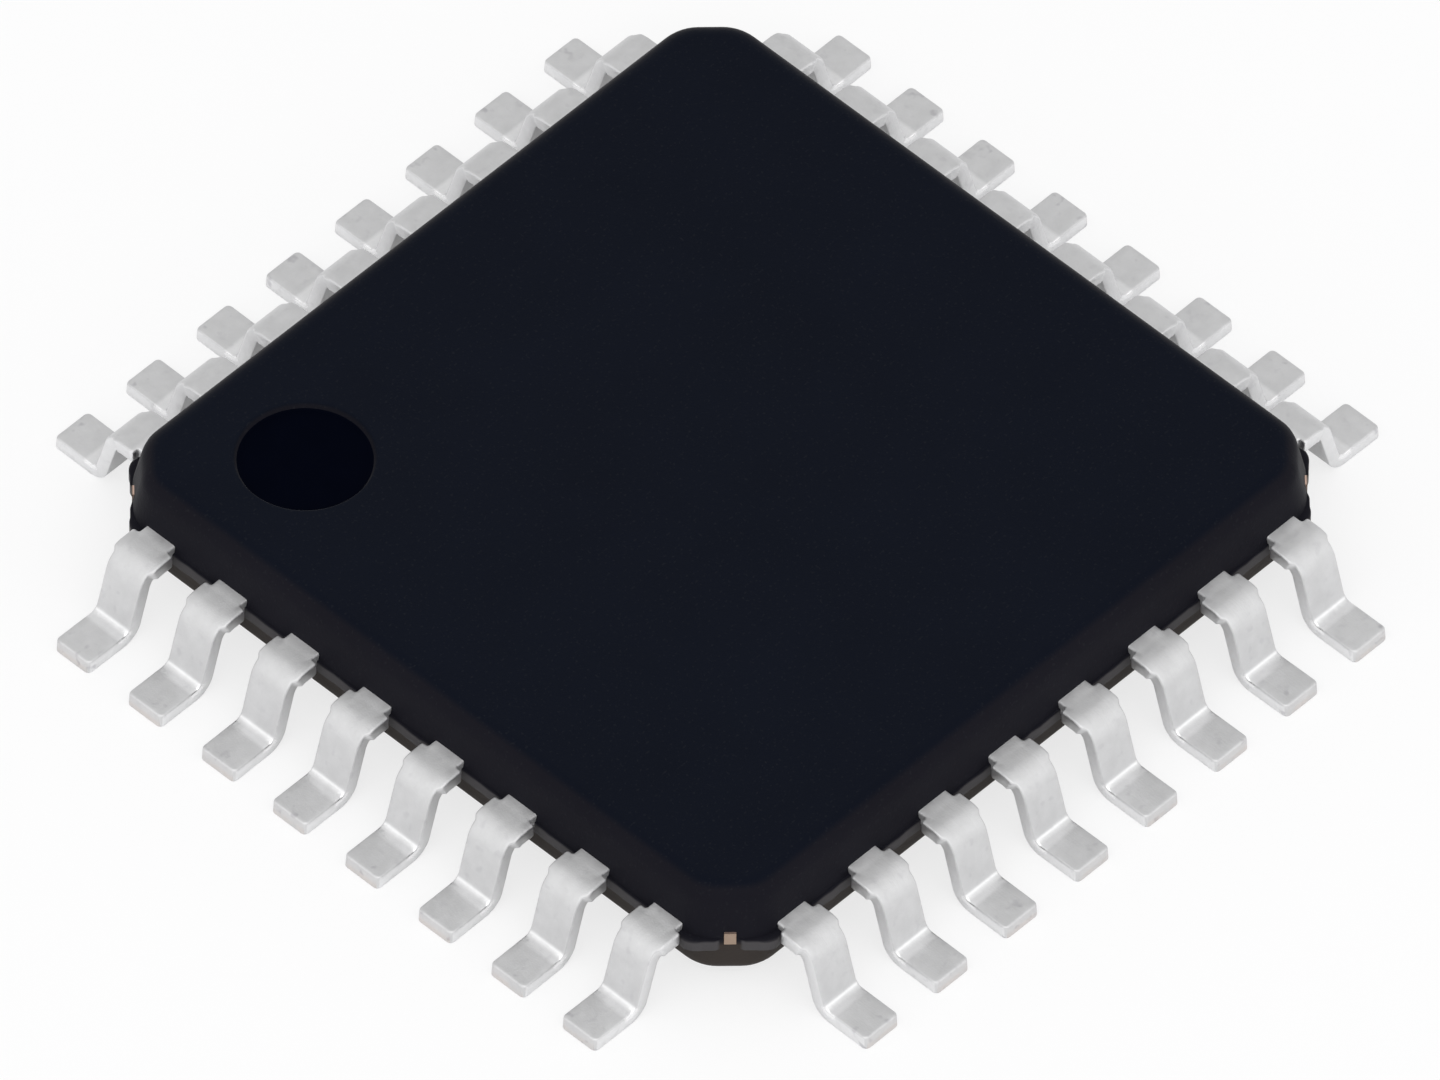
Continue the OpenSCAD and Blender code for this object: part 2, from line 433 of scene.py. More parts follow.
def body_mesh(body):
    bm = bmesh.new()
    loops = [loop_of(bm, body_ring(body, *level)) for level in body_levels(body)]
    for first, second in zip(loops, loops[1:]):
        bridge(bm, first, second)
    bm.faces.new(loops[0])

    top = BODY_HIGH.z / MM
    centre = Vector((-body.dimple_offset / MM, body.dimple_offset / MM, top))
    count = 96
    turns = [2 * math.pi * k / count for k in range(count)]
    rings = [
        loop_of(bm, [centre + Vector((r * math.cos(a), r * math.sin(a), -depth)) for a in turns])
        for r, depth in dimple_profile(body)]
    # The rim belongs to the top face, and a polished pin formed what lies inside it
    compound, polished, polished_from = 0, 1, 4
    for i, (first, second) in enumerate(zip(rings, rings[1:])):
        bridge(bm, first, second, polished if i >= polished_from else compound)
    bm.faces.new(rings[-1]).material_index = polished

    def edges(loop):
        return [bm.edges.get((a, b)) for a, b in zip(loop, loop[1:] + loop[:1])]

    bmesh.ops.triangle_fill(bm, edges=edges(loops[-1]) + edges(rings[0]), use_beauty=True)
    return mesh_from(bm, "moulded_package", math.radians(50))


def chamfer_level(body):
    """|x| + |y| at the parting line on the body's chamfers, where it is the same everywhere."""
    return BODY_HIGH.x - BODY_LOW.x - body.corner_cut


def compound_finish(body):
    """Black moulding compound with the fine grain of a spark-eroded mould, and painted floor light below
    the parting line.
    """
    f = Finish("mould_compound")
    x, y, height = f.split(f.place)
    x, y, drop = x.abs(), y.abs(), -height
    parting, edge = body.parting_height, body.edge_radius
    top = height.rise(BODY_HIGH.z - 0.20 * edge, BODY_HIGH.z - 0.015 * edge)
    grain = f.cloud(f.place, 0.016 * MM, 3.0, 0.6)
    pits = f.cloud(f.place, 0.045 * MM, 1.0)
    patches = f.cloud(f.place, 1.1 * MM, 3.0, 0.55)
    fillers = f.cloud(f.place, 0.024 * MM, 0.0).rise(0.68, 0.80)
    # Painted light: below the parting line the colour is lightened, standing for light bounced up from
    # the floor
    below = drop.rise(0.02 * MM - parting, 0.09 * MM - parting)
    colour = f.blend(top, rgba(body.wall_colour), rgba(body.top_colour))
    colour = f.blend(below, colour, rgba(body.floor_lit_lower_colour))
    # Only the web lies beyond the sides and the chamfers of the parting line
    beyond = (x.max(y) - BODY_HIGH.x).max((x + y - chamfer_level(body)) * math.sqrt(0.5))
    broken = beyond.rise(0.004 * MM, 0.014 * MM) * drop.rise(-parting, 0.03 * MM - parting)
    colour = f.blend(broken, colour, rgba(body.broken_colour))
    colour = f.tint(colour, 0.82 + 0.30 * patches + 0.10 * grain)
    colour = f.blend(fillers * 0.10, colour, (0.045, 0.047, 0.050, 1))
    return f.shade(
        Base_Color=colour,
        Roughness=0.66 - 0.08 * top - 0.10 * (patches - 0.5),
        Specular_IOR_Level=0.055,
        Sheen_Weight=0.10,
        Sheen_Roughness=0.35,
        Normal=f.bump(grain * 0.7 + pits * 0.6, 0.0022 * MM),
    )


def dimple_finish(body):
    """The same compound where a polished pin of the mould formed it, coloured darker as a painted
    reflection of the dark room above.
    """
    f = Finish("mould_compound_polished")
    patches = f.cloud(f.place, 0.25 * MM, 2.0)
    swirl = f.cloud(f.place, 0.05 * MM, 1.0)
    return f.shade(
        Base_Color=f.tint(rgba(body.dimple_painted_dark_colour), 0.85 + 0.3 * patches),
        Roughness=0.34 + 0.08 * patches,
        Specular_IOR_Level=0.006,
        Normal=f.bump(swirl, 0.0008 * MM),
    )


class FLATPACK_OT_mould_body(bpy.types.Operator):
    """Builds the moulded body with its rounded edges, resin web and pin one dimple"""

    bl_idname = "flatpack.mould_body"
    bl_label = "Mould Body"

    def execute(self, context):
        body = context.scene.flatpack_body
        piece = put_in_scene("moulded_package", body_mesh(body))
        give_materials(piece, compound_finish(body), dimple_finish(body))
        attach(piece, "root")
        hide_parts("moulded_body")
        return {"FINISHED"}


# Leads --------------------------------------------------------------------------------------


class FLATPACK_PG_leads(bpy.types.PropertyGroup):
    """Leads: the flat blank, how it is formed, and its plating"""

    thickness: a_length("Thickness", "Thickness of the lead frame", STRIP_THICKNESS)
    pitch: a_length("Pitch", "Spacing of the leads", LEAD_PITCH)
    width: a_length("Width", "Width from the shoulder to the toe", 0.38 * MM)
    root_width: a_length("Root Width", "Width where a lead leaves the body", 0.32 * MM)
    stub_width: a_length("Stub Width", "Width across the cut stubs of the dam bar", 0.44 * MM)
    stub_start: a_length("Stub Start", "Distance of the stubs from the body's wall", 0.07 * MM)
    shoulder_flat: a_length("Shoulder Flat", "Length of lead that leaves the body flat", 0.20 * MM)
    stub_turn: an_angle("Stub Turn", "Part of the shoulder bend that the stubs cover", 30)
    riser_angle: an_angle("Riser Angle", "Slope of the riser", 74)
    shoulder_radius: a_length(
        "Shoulder Radius", "Shoulder bend, at the middle of the metal", 0.17 * MM)
    heel_radius: a_length("Heel Radius", "Heel bend, at the middle of the metal", 0.14 * MM)
    inner_pitch: a_length("Inner Pitch", "Spacing of the inner tips", 0.58 * MM)
    inner_width: a_length("Inner Width", "Width of an inner tip", 0.28 * MM)
    fan_inset: a_length(
        "Fan Inset", "Distance inside the wall where the leads start to converge", 0.16 * MM)
    sway: a_length("Sway", "Largest sideways error of a toe", 0.007 * MM, precision=6)
    ripple: a_length("Ripple", "Unevenness of the plated faces", 0.0022 * MM, precision=6)
    seed: IntProperty(
        name="Seed", description="Seed of the small differences between leads", default=7)
    tin_colour: a_colour("Tin Colour", "Matte tin plate", (0.72, 0.72, 0.725))
    copper_colour: a_colour("Copper Colour", "Copper alloy bared by the cuts", (0.72, 0.52, 0.40))


class FormedStrip:
    """Lengths along the middle of the metal, in millimetres from the body's axis."""

    def __init__(self, leads):
        turn = leads.riser_angle
        radii = (leads.shoulder_radius + leads.heel_radius) / MM
        self.wall = BODY_HIGH.x / MM
        self.thickness = leads.thickness / MM
        self.frame_height = FRAME_TOP / MM - self.thickness / 2
        drop = self.frame_height - self.thickness / 2 - radii * (1 - math.cos(turn))
        self.riser = drop / math.sin(turn)
        self.inner_tip = INNER_TIP / MM
        self.fan_start = self.wall - leads.fan_inset / MM
        self.stub_start = self.wall + leads.stub_start / MM
        self.bend_start = self.wall + leads.shoulder_flat / MM
        self.stub_end = self.bend_start + leads.shoulder_radius / MM * leads.stub_turn
        self.shoulder_end = self.bend_start + leads.shoulder_radius / MM * turn
        self.heel_start = self.shoulder_end + self.riser
        self.heel_end = self.heel_start + leads.heel_radius / MM * turn
        reach = self.bend_start + radii * math.sin(turn) + self.riser * math.cos(turn)
        self.toe = self.heel_end + TOE_TIP / MM - reach


def rounded(corners, steps=4):
    """Open line through the corners, each given as (x, y, radius), with the corners rounded."""
    line = []
    for i, (x, y, radius) in enumerate(corners):
        here = Vector((x, y))
        if radius == 0 or i in (0, len(corners) - 1):
            line.append(here)
            continue
        back = Vector(corners[i - 1][:2]) - here
        ahead = Vector(corners[i + 1][:2]) - here
        opening = back.angle(ahead)
        tangent = min(radius / math.tan(opening / 2), 0.49 * back.length, 0.49 * ahead.length)
        radius = tangent * math.tan(opening / 2)
        middle = (back.normalized() + ahead.normalized()).normalized()
        centre = here + middle * radius / math.sin(opening / 2)
        start = here + back.normalized() * tangent - centre
        end = here + ahead.normalized() * tangent - centre
        total = start.angle_signed(end)
        for k in range(steps + 1):
            turned = start.copy()
            turned.rotate(Matrix.Rotation(-total * k / steps, 2))
            line.append(centre + turned)
    return line


def blank_outline(leads, strip):
    """Outline of the flat blank, as (length, width) points, anticlockwise."""
    tip, root = leads.inner_width / MM / 2, leads.root_width / MM / 2
    stub, half = leads.stub_width / MM / 2, leads.width / MM / 2
    step = stub - half
    right = rounded([
        (strip.inner_tip, 0, 0),
        (strip.inner_tip, -tip, 0.03),
        (strip.fan_start, -root, 0),
        (strip.stub_start, -root, 0.018),
        (strip.stub_start, -stub, 0.026),
        (strip.stub_end - step / 2, -stub, 0.03),
        (strip.stub_end + step / 2, -half, 0.03),
        (strip.toe, -half, 0.045),
        (strip.toe, 0, 0),
    ])
    left = [Vector((p.x, -p.y)) for p in reversed(right[1:-1])]
    return right + left


def inset_outline(outline, inset):
    """The outline moved inwards by inset."""
    moved = []
    count = len(outline)
    for i, point in enumerate(outline):
        into = (point - outline[i - 1]).normalized()
        out = (outline[(i + 1) % count] - point).normalized()
        middle = (into + out).normalized()
        normal = Vector((-middle.y, middle.x))
        moved.append(point + normal * inset / max(0.5, middle.dot(into)))
    return moved


def blank_mesh(leads, strip):
    """Flat lead before forming: X along it, Y across it, Z through it, with crossing cuts to bend at."""
    bm = bmesh.new()
    outline = blank_outline(leads, strip)
    half = strip.thickness / 2
    rolled, burr, toe_lean, toe_length = 0.020, 0.008, 0.010, 0.06
    levels = [(-half, burr), (-half + 0.3 * burr, 0.3 * burr), (-half + burr, 0)]
    levels += [(half - rolled * (1 - math.sin(a)), rolled * (1 - math.cos(a)))
               for a in (math.pi / 8 * k for k in range(5))]
    loops = []
    for height, inset in levels:
        # The punch leaves the toe's end leaning back a little at the top
        lean = toe_lean * (height + half) / strip.thickness
        points = [Vector((p.x - lean * (p.x > strip.toe - toe_length), p.y, height))
                  for p in inset_outline(outline, inset)]
        loops.append(loop_of(bm, points))
    for first, second in zip(loops, loops[1:]):
        bridge(bm, first, second)
    bm.faces.new(loops[0])
    bm.faces.new(loops[-1])

    def cut(along, normal):
        everything = [*bm.verts, *bm.edges, *bm.faces]
        bmesh.ops.bisect_plane(bm, geom=everything, dist=1e-5, plane_co=along, plane_no=normal)

    def cuts(start, end, count):
        for k in range(count + 1):
            cut((start + (end - start) * k / count, 0, 0), (1, 0, 0))

    cuts(strip.fan_start, strip.wall, 2)
    cuts(strip.bend_start, strip.shoulder_end, 14)
    cuts(strip.shoulder_end, strip.heel_start, 6)
    cuts(strip.heel_start, strip.heel_end, 14)
    cuts(strip.heel_end, strip.toe - 0.05, 6)
    for across in (-0.12, -0.06, 0, 0.06, 0.12):
        cut((0, across, 0), (0, 1, 0))
    bmesh.ops.triangulate(bm, faces=[f for f in bm.faces if len(f.verts) > 4])
    return mesh_from(bm, "lead_blank", math.radians(60))


def forming_tree():
    """Geometry Nodes that lay out a row of flat blanks, fan them, bend them and turn them to a side."""
    tree = bpy.data.node_groups.new("Form Leads", "GeometryNodeTree")
    face = tree.interface
    face.new_socket("Geometry", in_out="OUTPUT", socket_type="NodeSocketGeometry")
    face.new_socket("Blank", in_out="INPUT", socket_type="NodeSocketGeometry")
    for name in ("Leads", "Seed"):
        face.new_socket(name, in_out="INPUT", socket_type="NodeSocketInt")
    lengths = ("Pitch", "Inner Pitch", "Inner Tip", "Fan Start", "Bend Start", "Frame Height",
               "Shoulder Radius", "Heel Radius", "Riser Length", "Sway", "Ripple")
    for subtype, names in (("DISTANCE", lengths), ("ANGLE", ("Riser Angle", "Side Turn"))):
        for name in names:
            socket = face.new_socket(name, in_out="INPUT", socket_type="NodeSocketFloat")
            socket.subtype = subtype
    face.new_socket("Plating", in_out="INPUT", socket_type="NodeSocketMaterial")

    n = Nodes(tree)
    given = n.add("NodeGroupInput")
    put = {socket.name: Value(n, socket) for socket in given.outputs if socket.name}

    row = n.add("GeometryNodePoints", None, {"Count": put["Leads"]})
    laid = n.add("GeometryNodeInstanceOnPoints", None,
                 {"Points": row.outputs[0], "Instance": put["Blank"]})
    order = n.value("GeometryNodeInputIndex")
    numbered = n.add("GeometryNodeStoreNamedAttribute",
                     {"data_type": "FLOAT", "domain": "INSTANCE"},
                     {"Geometry": laid.outputs[0], "Name": "lead", "Value": order})
    loose = n.add("GeometryNodeRealizeInstances", None, [numbered.outputs[0]])
    flat = n.value("GeometryNodeInputPosition")
    marked = n.add("GeometryNodeStoreNamedAttribute",
                   {"data_type": "FLOAT_VECTOR", "domain": "POINT"},
                   {"Geometry": loose.outputs[0], "Name": "strip", "Value": flat})

    lead = n.value("GeometryNodeInputNamedAttribute", {"data_type": "FLOAT"}, {"Name": "lead"})
    along, across, through = n.split(flat)
    turn = put["Riser Angle"]
    shoulder, heel = put["Shoulder Radius"], put["Heel Radius"]
    bend_start, riser = put["Bend Start"], put["Riser Length"]
    shoulder_end = bend_start + shoulder * turn
    heel_start = shoulder_end + riser
    heel_end = heel_start + heel * turn

    # Each lead runs straight from its inner tip to where the row is parallel
    share = ((along - put["Inner Tip"]) / (put["Fan Start"] - put["Inner Tip"])).between(0.0, 1.0)
    place_in_row = lead - (put["Leads"] - 1.0) / 2.0
    spacing = put["Inner Pitch"] + (put["Pitch"] - put["Inner Pitch"]) * share

    # Small sideways errors grow from the shoulder to the toe
    lean = n.value("FunctionNodeRandomValue", {"data_type": "FLOAT"},
                   {2: -1.0, 3: 1.0, "ID": lead, "Seed": put["Seed"]}, output=1)
    bent = (along - bend_start).max(0.0) / (heel_end - bend_start)

    # Shoulder turned by a, riser length r, heel turned back by b, foot length c
    a = ((along - bend_start) / shoulder).between(0.0, turn)
    r = (along - shoulder_end).between(0.0, riser)
    b = ((along - heel_start) / heel).between(0.0, turn)
    c = (along - heel_end).max(0.0)
    slope = a - b
    out = (along.min(bend_start) + shoulder * a.sin() + r * turn.cos()
           + heel * (turn.sin() - (turn - b).sin()) + c)
    up = (put["Frame Height"] - shoulder * (1.0 - a.cos()) - r * turn.sin()
          - heel * ((turn - b).cos() - turn.cos()))

    # The plating is uneven on the upper face only, so that the soles stay level
    here = n.join(along, across, through + lead * (0.9 * MM) + put["Seed"] * MM)
    uneven = n.cloud(here, 0.11 * MM, 1.0) - 0.5
    upper = through.rise(0.0, STRIP_THICKNESS / 2) * along.rise(bend_start - 0.1 * MM, bend_start)
    height = through - put["Ripple"] * upper * (0.5 + uneven)
    formed = n.add("GeometryNodeSetPosition", None, {
        "Geometry": marked.outputs[0],
        "Position": n.join(
            out + height * slope.sin(),
            across + place_in_row * spacing + lean * put["Sway"] * bent,
            up + height * slope.cos(),
        ),
    })
    turned = n.add("GeometryNodeTransform", None, {
        "Geometry": formed.outputs[0],
        "Rotation": n.value("FunctionNodeEulerToRotation", None, [n.join(0.0, 0.0, put["Side Turn"])]),
    })
    real = n.add("GeometryNodeRealizeInstances", None, [turned.outputs[0]])
    plated = n.add("GeometryNodeSetMaterial", None,
                   {"Geometry": real.outputs[0], "Material": put["Plating"]})
    n.add("NodeGroupOutput", None, [plated.outputs[0]])
    return tree


def run_tree(piece, tree, inputs):
    """Runs the tree on a piece and keeps its result as the piece's plain mesh."""
    modifier = piece.modifiers.new(tree.name, "NODES")
    modifier.node_group = tree
    ids = {item.name: item.identifier for item in tree.interface.items_tree
           if item.in_out == "INPUT"}
    for name, given in inputs.items():
        modifier[ids[name]] = given
    bpy.context.view_layer.update()
    graph = bpy.context.evaluated_depsgraph_get()
    mesh = bpy.data.meshes.new_from_object(
        piece.evaluated_get(graph), preserve_all_data_layers=True, depsgraph=graph)
    if not mesh.polygons:
        raise RuntimeError(f"{tree.name} made no faces for {piece.name}")
    piece.modifiers.clear()
    mesh.name = piece.name
    piece.data = mesh


def tin_finish(leads, strip):
    """Matte tin plate on copper alloy, with bare metal showing where the frame was cut, and painted
    highlights on the heel, the flanks and the root.
    """
    f = Finish("tin_plate")
    flat = f.attribute("strip", "Vector")
    along, across, through = f.split(flat)
    toe, half = strip.toe * MM, strip.thickness * MM / 2
    stub, rim, radius = strip.stub_start * MM, leads.width / 2, leads.heel_radius

    mottle = f.cloud(f.place, 0.13 * MM, 3.0, 0.55)
    crystals = f.cloud(f.place, 0.017 * MM, 2.0, 0.6)
    # Forming and punching draw faint lines along the strip
    drawn = f.cloud(f.scaled(flat, (0.12, 1.0, 1.0)), 0.018 * MM, 2.0)
    blots = f.cloud(f.place, 0.09 * MM, 1.0).rise(0.60, 0.80)
    blots = blots * (0.16 + 0.34 * along.rise(toe - 0.20 * MM, toe - 0.06 * MM))
    # The forming punch burnishes the inside of the heel, leaving it smoother; its lighter colour there
    # is a painted highlight
    heel = (along - (strip.heel_end * MM - 0.25 * radius)).abs()
    burnish_and_painted_highlight = (1.0 - heel.rise(0.45 * radius, 0.80 * radius)) * through.rise(0.0, 0.6 * half)

    # The trimming dies leave the flanks smoother than the rolled faces; their lighter colour is painted
    # light
    flank = across.abs().rise(rim - 0.010 * MM, rim - 0.003 * MM)
    flank = flank * (1.0 - through.rise(half - 0.016 * MM, half - 0.006 * MM))

    # Copper shows only in the cut end of the toe, most in its torn lower part
    end_face = along.rise(toe - 0.014 * MM, toe - 0.010 * MM)
    lower = (-through).rise(-0.3 * half, 0.5 * half)
    bare = end_face * (0.03 + 0.12 * lower) * mottle.rise(0.25, 0.6)

    # The short length next to the body, which the tools never touch, is coloured lighter as a painted
    # highlight
    root = 1.0 - along.rise(stub, stub + 0.06 * MM)
    # Mottle and crystals are the plating's own tone; the heel, root and flank terms are painted light
    tone_and_painted_light = 0.88 + 0.20 * mottle + 0.05 * crystals + 0.27 * burnish_and_painted_highlight + 0.15 * root + 0.16 * flank
    tin = f.tint(rgba(leads.tin_colour), tone_and_painted_light)
    tin = f.blend(blots, tin, (0.42, 0.41, 0.44, 1))
    colour = f.blend(bare, tin, rgba(leads.copper_colour))
    rough = (0.54 + 0.14 * (mottle - 0.5) + 0.06 * crystals + 0.12 * end_face
             - 0.26 * burnish_and_painted_highlight - 0.18 * flank)
    return f.shade(
        Base_Color=colour,
        Metallic=1.0,
        Roughness=rough,
        Normal=f.bump(crystals * 0.6 + drawn * 0.5 + mottle * 0.8, 0.0024 * MM),
    )


class FLATPACK_OT_form_leads(bpy.types.Operator):
    """Stamps, fans and bends the leads, one row of eight on each side"""

    bl_idname = "flatpack.form_leads"
    bl_label = "Form Leads"

    def execute(self, context):
        leads = context.scene.flatpack_leads
        strip = FormedStrip(leads)
        tree, plating = forming_tree(), tin_finish(leads, strip)
        for side, (turn, first) in SIDES.items():
            piece = put_in_scene(f"leads_{side}", blank_mesh(leads, strip))
            run_tree(piece, tree, {
                "Leads": PER_SIDE,
                "Seed": leads.seed + first,
                "Pitch": leads.pitch,
                "Inner Pitch": leads.inner_pitch,
                "Inner Tip": strip.inner_tip * MM,
                "Fan Start": strip.fan_start * MM,
                "Bend Start": strip.bend_start * MM,
                "Frame Height": strip.frame_height * MM,
                "Shoulder Radius": leads.shoulder_radius,
                "Heel Radius": leads.heel_radius,
                "Riser Length": strip.riser * MM,
                "Riser Angle": leads.riser_angle,
                "Side Turn": math.radians(turn),
                "Sway": leads.sway,
                "Ripple": leads.ripple,
                "Plating": plating,
            })
            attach(piece, "root")
            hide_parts(*(f"lead_{first + i:02d}" for i in range(PER_SIDE)))
        return {"FINISHED"}


# Inside -------------------------------------------------------------------------------------


class FLATPACK_PG_inside(bpy.types.PropertyGroup):
    """Inside: finishes of the die pad, the die, its adhesive and the bond wires"""

    copper_colour: a_colour("Copper Colour", "Rolled copper alloy of the die pad", (0.80, 0.58, 0.48))
    adhesive_colour: a_colour("Adhesive Colour", "Cured silver-filled adhesive", (0.50, 0.50, 0.48))
    silicon_colour: a_colour("Silicon Colour", "Polished silicon", (0.16, 0.17, 0.21))
    gold_colour: a_colour("Gold Colour", "Drawn gold of the bond wires", (0.95, 0.72, 0.32))


def copper_finish(inside, body):
    """Rolled copper alloy, dull and stained where the tie bars were cut."""
    f = Finish("frame_copper")
    x, y = f.split(f.place)[:2]
    level = chamfer_level(body)
    cut = (x.abs() + y.abs()).rise(level - 0.005 * MM, level + 0.002 * MM)
    rolled = f.cloud(f.scaled(f.place, (0.08, 1.0, 1.0)), 0.02 * MM, 2.0)
    patches = f.cloud(f.place, 0.3 * MM, 2.0)
    shear = f.cloud(f.scaled(f.place, (1.0, 1.0, 0.2)), 0.012 * MM, 1.0)
    colour = f.tint(rgba(inside.copper_colour), 0.86 + 0.14 * rolled + 0.14 * patches)
    colour = f.blend(cut * 0.8, colour, (0.30, 0.23, 0.17, 1))
    return f.shade(
        Base_Color=colour,
        Metallic=1.0,
        Roughness=0.34 + 0.14 * patches + 0.08 * cut,
        Normal=f.bump(rolled * (1.0 - cut) + shear * cut, 0.0012 * MM),
    )


def adhesive_finish(inside):
    """Cured adhesive, full of silver flakes."""
    f = Finish("silver_adhesive")
    flakes = f.value("ShaderNodeTexVoronoi", None, {"Vector": f.place, "Scale": 1 / (0.012 * MM)})
    lumps = f.cloud(f.place, 0.06 * MM, 2.0)
    return f.shade(
        Base_Color=f.tint(rgba(inside.adhesive_colour), 0.75 + 0.35 * flakes),
        Metallic=0.55,
        Roughness=0.42 + 0.2 * lumps,
        Normal=f.bump(flakes + lumps, 0.003 * MM),
    )


def silicon_finish(inside):
    """Bare silicon edges and a top divided into plain circuit blocks."""
    f = Finish("silicon")
    height, die_top = f.split(f.place)[2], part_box("die")[1].z
    top = height.rise(die_top - 0.004 * MM, die_top - 0.002 * MM)
    blocks = f.add("ShaderNodeTexBrick", {"offset": 0.35, "squash": 1.7}, {
        "Vector": f.place, "Color1": (0.30, 0.34, 0.36, 1), "Color2": (0.42, 0.38, 0.44, 1),
        "Mortar": (0.62, 0.60, 0.52, 1), "Scale": 1 / (0.9 * MM), "Mortar Size": 0.02})
    rows = f.add("ShaderNodeTexBrick", {"offset": 0.5}, {
        "Vector": f.place, "Color1": (0.75, 0.78, 0.82, 1), "Color2": WHITE,
        "Mortar": (0.55, 0.55, 0.55, 1), "Scale": 1 / (0.12 * MM), "Mortar Size": 0.06})
    circuit = f.value("ShaderNodeMix", {"data_type": "RGBA", "blend_type": "MULTIPLY"},
                      {0: 1.0, 6: blocks.outputs[0], 7: rows.outputs[0]}, output=2)
    haze = f.cloud(f.place, 0.4 * MM, 2.0)
    return f.shade(
        Base_Color=f.blend(top, rgba(inside.silicon_colour), circuit),
        Metallic=0.6,
        Roughness=0.16 + 0.1 * haze,
        Normal=f.bump(f.cloud(f.place, 0.03 * MM), 0.0003 * MM),
    )


def gold_finish(inside):
    """Bright gold, a little uneven from the drawing die."""
    f = Finish("gold_wire")
    drawn = f.cloud(f.place, 0.009 * MM, 2.0)
    return f.shade(
        Base_Color=f.tint(rgba(inside.gold_colour), 0.9 + 0.15 * drawn),
        Metallic=1.0,
        Roughness=0.2 + 0.12 * drawn,
        Normal=f.bump(drawn, 0.0004 * MM),
    )


def trimmed_die_pad(body):
    """Copy of the die pad whose tie bars were sheared off level with the body's chamfers."""
    bm = bmesh.new()
    bm.from_mesh(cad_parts["die_pad"].data)
    bmesh.ops.remove_doubles(bm, verts=bm.verts, dist=1e-4 * MM)
    # The shear leaves an end just proud of the chamfer and draws it in across its width
    level, drawn_in = chamfer_level(body) + 0.008 * MM, 0.8
    for vert in bm.verts:
        x, y = vert.co.x, vert.co.y
        if abs(x) + abs(y) > level:
            across = (abs(x) - abs(y)) / 2 * drawn_in
            vert.co.x = math.copysign(level / 2 + across, x)
            vert.co.y = math.copysign(level / 2 - across, y)
    for face in bm.faces:
        face.smooth = False
    mesh = bpy.data.meshes.new("trimmed_die_pad")
    bm.to_mesh(mesh)
    bm.free()
    return mesh


def finish_nodes(material, names):
    """Puts a finish on nodes that are shown as the frame holds them."""
    for name in names:
        give_materials(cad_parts[name], material)


class FLATPACK_OT_finish_die_pad(bpy.types.Operator):
    """Trims the tie bars of the die pad, whose cut ends show at the corners, and finishes it"""

    bl_idname = "flatpack.finish_die_pad"
    bl_label = "Finish Die Pad"

    def execute(self, context):
        body = context.scene.flatpack_body
        piece = put_in_scene("trimmed_die_pad", trimmed_die_pad(body))
        give_materials(piece, copper_finish(context.scene.flatpack_inside, body))
        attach(piece, "root")
        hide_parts("die_pad")
        return {"FINISHED"}


class FLATPACK_OT_finish_die(bpy.types.Operator):
    """Gives the die and the adhesive below it their finishes"""

    bl_idname = "flatpack.finish_die"
    bl_label = "Finish Die"

    def execute(self, context):
        inside = context.scene.flatpack_inside
        finish_nodes(adhesive_finish(inside), ["die_attach"])
        finish_nodes(silicon_finish(inside), ["die"])
        return {"FINISHED"}


class FLATPACK_OT_finish_wires(bpy.types.Operator):
    """Gives the bond wires their gold"""

    bl_idname = "flatpack.finish_wires"
    bl_label = "Finish Bond Wires"

    def execute(self, context):
        wires = [f"bond_wires_{side}" for side in SIDES]
        finish_nodes(gold_finish(context.scene.flatpack_inside), wires)
        return {"FINISHED"}


# Stage --------------------------------------------------------------------------------------


class FLATPACK_PG_stage(bpy.types.PropertyGroup):
    """Stage: floor, soft light and camera"""

    floor_colour: a_colour("Floor Colour", "Pale floor", (0.93, 0.93, 0.935))
    floor_lift: a_share("Floor Lift", "Share of plain white in the floor as it is seen", 0.74)
    mirrored_lift: a_share("Mirrored Lift", "Share of plain white in the floor's reflection", 0.23)
    room_light: FloatProperty(
        name="Room Light", description="Brightness of the room round the object", default=0.86)
    far_dimming: a_share("Far Dimming", "How much dimmer the room is behind the object", 0.22)
    left_light: FloatProperty(
        name="Left Light", description="Radiance of the left soft box", default=0.30)
    right_light: FloatProperty(
        name="Right Light", description="Radiance of the right soft box", default=0.40)
    front_light: FloatProperty(
        name="Front Light", description="Radiance of the soft box above the camera", default=1.0)
    azimuth: an_angle("Azimuth", "Camera's direction round the object", -46.5)
    elevation: an_angle("Elevation", "Camera's height above the horizon", 49.2588)
    roll: an_angle("Roll", "Camera's turn about its own axis", 0.642)
    distance: a_length("Distance", "Camera's distance", 318 * MM)
    lens: FloatProperty(
        name="Lens", description="Focal length in millimetres", default=999.7)


def direction(azimuth, elevation):
    """Unit vector towards a place round the object, as the frame's views count it."""
    return Vector((
        math.sin(azimuth) * math.cos(elevation),
        -math.cos(azimuth) * math.cos(elevation),
        math.sin(elevation),
    ))


def floor_finish(stage):
    """Pale floor that keeps the object's shadow, and is open to a camera below it."""
    f = Finish("floor")
    path = f.add("ShaderNodeLightPath")
    mirrored = Value(f, path.outputs["Is Glossy Ray"]).max(path.outputs["Is Transmission Ray"])
    lift = mirrored * stage.mirrored_lift + Value(f, path.outputs["Is Camera Ray"]) * stage.floor_lift
    paper = f.cloud(f.place, 20 * MM, 2.0)
    lit = f.add("ShaderNodeBsdfDiffuse", None,
                {"Color": f.tint(rgba(stage.floor_colour), 0.995 + 0.01 * paper)})
    white = f.add("ShaderNodeEmission", None, {"Color": WHITE, "Strength": 1.0})
    shown = f.add("ShaderNodeMixShader", None, [lift, lit.outputs[0], white.outputs[0]])
    below = f.add("ShaderNodeNewGeometry")
    clear = f.add("ShaderNodeBsdfTransparent")
    one_sided = f.add("ShaderNodeMixShader", None,
                      [below.outputs["Backfacing"], shown.outputs[0], clear.outputs[0]])
    f.end(one_sided.outputs[0])
    return f.material


